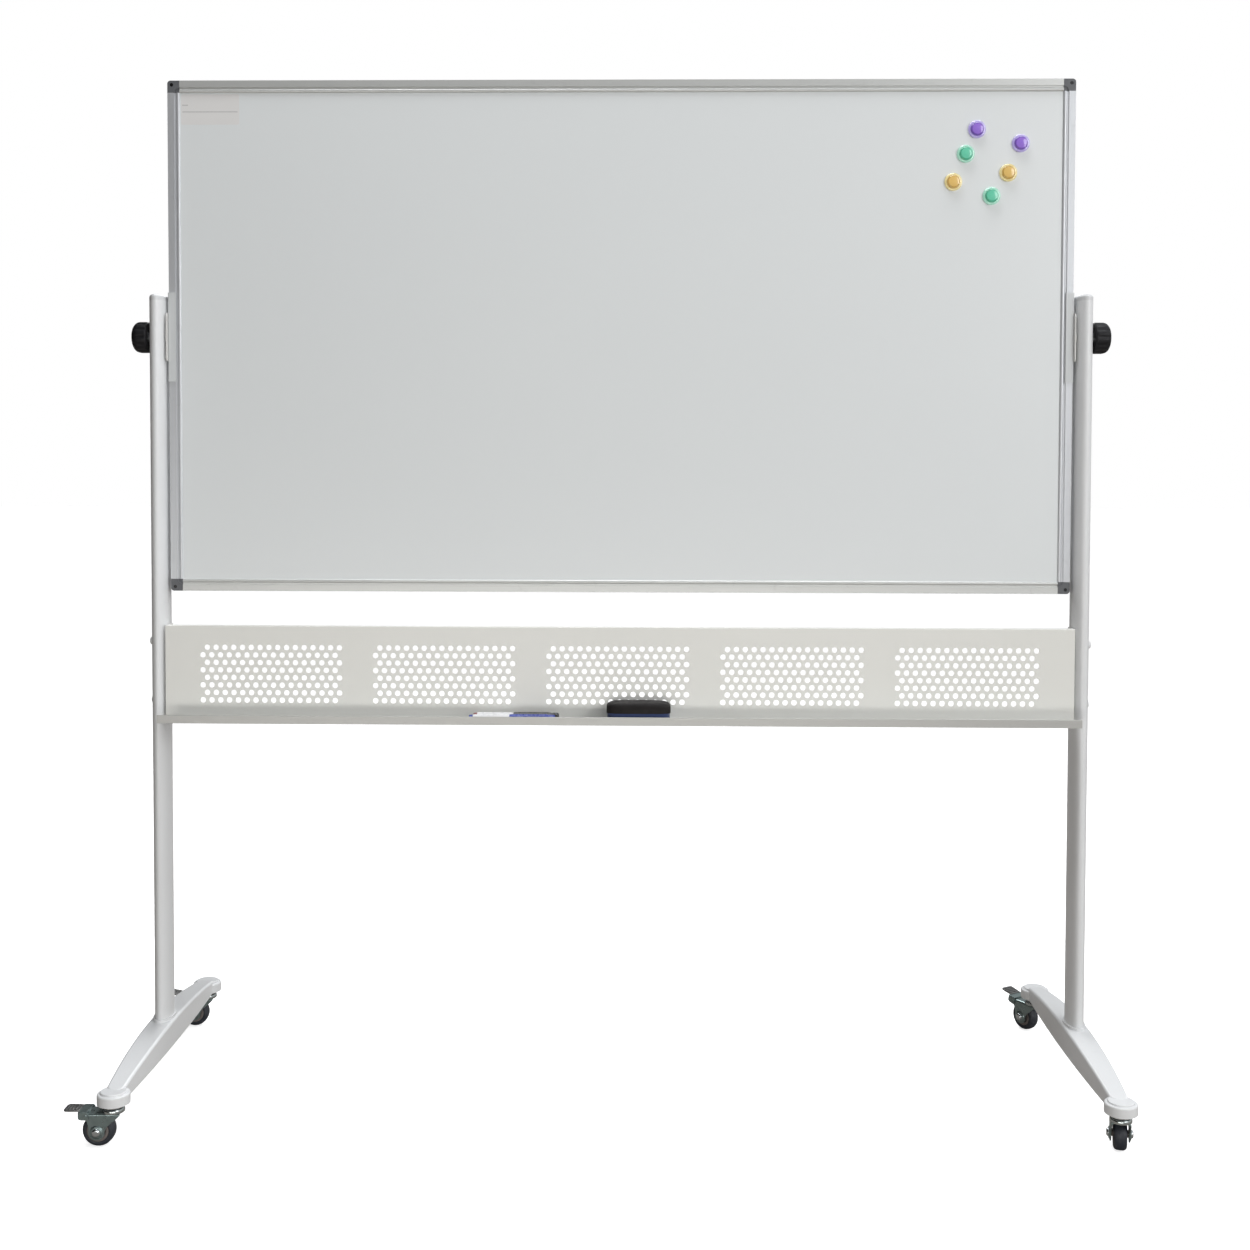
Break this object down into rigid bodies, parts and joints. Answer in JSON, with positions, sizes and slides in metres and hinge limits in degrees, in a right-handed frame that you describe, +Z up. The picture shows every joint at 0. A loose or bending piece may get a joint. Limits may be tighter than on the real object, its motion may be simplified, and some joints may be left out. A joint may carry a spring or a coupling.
{
  "type": "rolling whiteboard",
  "caption": "Two-sided writing board that turns over on side pivots with clamp knobs, on a wheeled steel stand with a pen tray, magnets, markers and an eraser.",
  "frame": {"origin": "on the floor, midway between the two posts and midway between the front and rear casters' swivel axes", "axes": "+X to the user's right along the board, +Y to the back, +Z up"},
  "size_m": [1.655, 0.608, 1.682],
  "materials": {
    "white_powder_coat": "fine powder coat, satin",
    "satin_aluminium": "satin anodised extrusion",
    "tray_aluminium": "satin anodised sheet",
    "grey_plastic": "moulded, fine grain",
    "white_plastic": "moulded, semi-gloss",
    "writing_steel": "glossy white lacquer on steel",
    "core_board": "light fibre core",
    "bracket_coat": "pale grey powder coat",
    "zinc_plate": "bright zinc plated pressing",
    "bolt_steel": "zinc plated",
    "lever_steel": "zinc plated pressing",
    "white_bolt_caps": "white coated bolt heads",
    "black_plastic": "moulded, fine grain",
    "wheel_plastic": "moulded nylon",
    "tyre_rubber": "smooth thermoplastic rubber",
    "magnet_purple": "translucent, moulded",
    "magnet_green": "translucent, moulded",
    "magnet_yellow": "translucent, moulded",
    "marker_white": "moulded, coloured cap and end",
    "eraser_plastic": "moulded, satin",
    "eraser_felt": "dense felt pad"
  },
  "bodies": {
    "stand": {"left_post": "white_powder_coat", "right_post": "white_powder_coat", "left_post_cap": "white_plastic", "right_post_cap": "white_plastic", "left_foot": "white_powder_coat", "right_foot": "white_powder_coat", "post_plugs": "bolt_steel", "foot_bolts": "bolt_steel", "perforated_panel": "white_powder_coat", "panel_flanges": "white_powder_coat", "pen_tray": "tray_aluminium", "panel_bolts": "white_bolt_caps", "caster_stems": "bolt_steel", "knob_washers": "bolt_steel"},
    "board": {"frame_top": "satin_aluminium", "frame_bottom": "satin_aluminium", "frame_left": "satin_aluminium", "frame_right": "satin_aluminium", "corner_pieces": "grey_plastic", "board_screws": "bolt_steel", "front_sheet": "writing_steel", "back_sheet": "writing_steel", "board_core": "core_board", "side_brackets": "bracket_coat", "pivot_plates": "zinc_plate", "pivot_nuts": "bolt_steel"},
    "left_knob": {"left_knob": "black_plastic", "left_knob_stud": "bolt_steel"},
    "right_knob": {"right_knob": "black_plastic", "right_knob_stud": "bolt_steel"},
    "front_left_swivel": {"front_left_fork": "zinc_plate", "front_left_axle": "bolt_steel"},
    "front_left_wheel": {"front_left_hub": "wheel_plastic", "front_left_tyre": "tyre_rubber"},
    "front_left_brake": {"front_left_brake_lever": "lever_steel"},
    "front_right_swivel": {"front_right_fork": "zinc_plate", "front_right_axle": "bolt_steel"},
    "front_right_wheel": {"front_right_hub": "wheel_plastic", "front_right_tyre": "tyre_rubber"},
    "front_right_brake": {"front_right_brake_lever": "lever_steel"},
    "rear_left_swivel": {"rear_left_fork": "zinc_plate", "rear_left_axle": "bolt_steel"},
    "rear_left_wheel": {"rear_left_hub": "wheel_plastic", "rear_left_tyre": "tyre_rubber"},
    "rear_left_brake": {"rear_left_brake_lever": "lever_steel"},
    "rear_right_swivel": {"rear_right_fork": "zinc_plate", "rear_right_axle": "bolt_steel"},
    "rear_right_wheel": {"rear_right_hub": "wheel_plastic", "rear_right_tyre": "tyre_rubber"},
    "rear_right_brake": {"rear_right_brake_lever": "lever_steel"},
    "purple_magnet_left": {"purple_magnet_left": "magnet_purple"},
    "purple_magnet_right": {"purple_magnet_right": "magnet_purple"},
    "green_magnet_upper": {"green_magnet_upper": "magnet_green"},
    "green_magnet_lower": {"green_magnet_lower": "magnet_green"},
    "yellow_magnet_right": {"yellow_magnet_right": "magnet_yellow"},
    "yellow_magnet_left": {"yellow_magnet_left": "magnet_yellow"},
    "eraser": {"eraser_grip": "eraser_plastic", "eraser_felt": "eraser_felt"},
    "blue_marker": {"blue_marker": "marker_white"},
    "black_marker": {"black_marker": "marker_white"}
  },
  "joints": [
    {"name": "board_tilt", "type": "hinge", "parent": "stand", "child": "board", "pos_m": [0, 0, 1.258], "axis": [1, 0, 0], "continuous": true},
    {"name": "left_knob_turn", "type": "hinge", "parent": "stand", "child": "left_knob", "pos_m": [-0.769, 0, 1.258], "axis": [-1, 0, 0], "range_deg": [0, 360]},
    {"name": "right_knob_turn", "type": "hinge", "parent": "stand", "child": "right_knob", "pos_m": [0.769, 0, 1.258], "axis": [1, 0, 0], "range_deg": [0, 360]},
    {"name": "front_left_swivel_turn", "type": "hinge", "parent": "stand", "child": "front_left_swivel", "pos_m": [-0.769, -0.258, 0.056], "axis": [0, 0, 1], "continuous": true},
    {"name": "front_left_wheel_spin", "type": "hinge", "parent": "front_left_swivel", "child": "front_left_wheel", "pos_m": [-0.791, -0.258, 0.025], "axis": [0, 1, 0], "continuous": true},
    {"name": "front_left_brake_press", "type": "hinge", "parent": "front_left_swivel", "child": "front_left_brake", "pos_m": [-0.807, -0.258, 0.05], "axis": [0, -1, 0], "range_deg": [-10, 0]},
    {"name": "front_right_swivel_turn", "type": "hinge", "parent": "stand", "child": "front_right_swivel", "pos_m": [0.769, -0.258, 0.056], "axis": [0, 0, 1], "continuous": true},
    {"name": "front_right_wheel_spin", "type": "hinge", "parent": "front_right_swivel", "child": "front_right_wheel", "pos_m": [0.77432, -0.23665, 0.025], "axis": [0.9703, -0.2419, 0], "continuous": true},
    {"name": "front_right_brake_press", "type": "hinge", "parent": "front_right_swivel", "child": "front_right_brake", "pos_m": [0.77819, -0.22113, 0.05], "axis": [-0.9703, 0.2419, 0], "range_deg": [0, 10]},
    {"name": "rear_left_swivel_turn", "type": "hinge", "parent": "stand", "child": "rear_left_swivel", "pos_m": [-0.769, 0.258, 0.056], "axis": [0, 0, 1], "continuous": true},
    {"name": "rear_left_wheel_spin", "type": "hinge", "parent": "rear_left_swivel", "child": "rear_left_wheel", "pos_m": [-0.791, 0.258, 0.025], "axis": [0, 1, 0], "continuous": true},
    {"name": "rear_left_brake_press", "type": "hinge", "parent": "rear_left_swivel", "child": "rear_left_brake", "pos_m": [-0.807, 0.258, 0.05], "axis": [0, -1, 0], "range_deg": [0, 10]},
    {"name": "rear_right_swivel_turn", "type": "hinge", "parent": "stand", "child": "rear_right_swivel", "pos_m": [0.769, 0.258, 0.056], "axis": [0, 0, 1], "continuous": true},
    {"name": "rear_right_wheel_spin", "type": "hinge", "parent": "rear_right_swivel", "child": "rear_right_wheel", "pos_m": [0.75734, 0.27666, 0.025], "axis": [0.848, 0.5299, 0], "continuous": true},
    {"name": "rear_right_brake_press", "type": "hinge", "parent": "rear_right_swivel", "child": "rear_right_brake", "pos_m": [0.74886, 0.29023, 0.05], "axis": [-0.848, -0.5299, 0], "range_deg": [0, 10]},
    {"name": "purple_magnet_left_pull_off", "type": "slide", "parent": "board", "child": "purple_magnet_left", "axis": [0, -1, 0], "range_m": [0, 0.04]},
    {"name": "purple_magnet_right_pull_off", "type": "slide", "parent": "board", "child": "purple_magnet_right", "axis": [0, -1, 0], "range_m": [0, 0.04]},
    {"name": "green_magnet_upper_pull_off", "type": "slide", "parent": "board", "child": "green_magnet_upper", "axis": [0, -1, 0], "range_m": [0, 0.04]},
    {"name": "green_magnet_lower_pull_off", "type": "slide", "parent": "board", "child": "green_magnet_lower", "axis": [0, -1, 0], "range_m": [0, 0.04]},
    {"name": "yellow_magnet_right_pull_off", "type": "slide", "parent": "board", "child": "yellow_magnet_right", "axis": [0, -1, 0], "range_m": [0, 0.04]},
    {"name": "yellow_magnet_left_pull_off", "type": "slide", "parent": "board", "child": "yellow_magnet_left", "axis": [0, -1, 0], "range_m": [0, 0.04]},
    {"name": "eraser_lift_off", "type": "slide", "parent": "stand", "child": "eraser", "axis": [0, 0, 1], "range_m": [0, 0.12]},
    {"name": "blue_marker_lift_off", "type": "slide", "parent": "stand", "child": "blue_marker", "axis": [0, 0, 1], "range_m": [0, 0.12]},
    {"name": "black_marker_lift_off", "type": "slide", "parent": "stand", "child": "black_marker", "axis": [0, 0, 1], "range_m": [0, 0.12]}
  ]
}
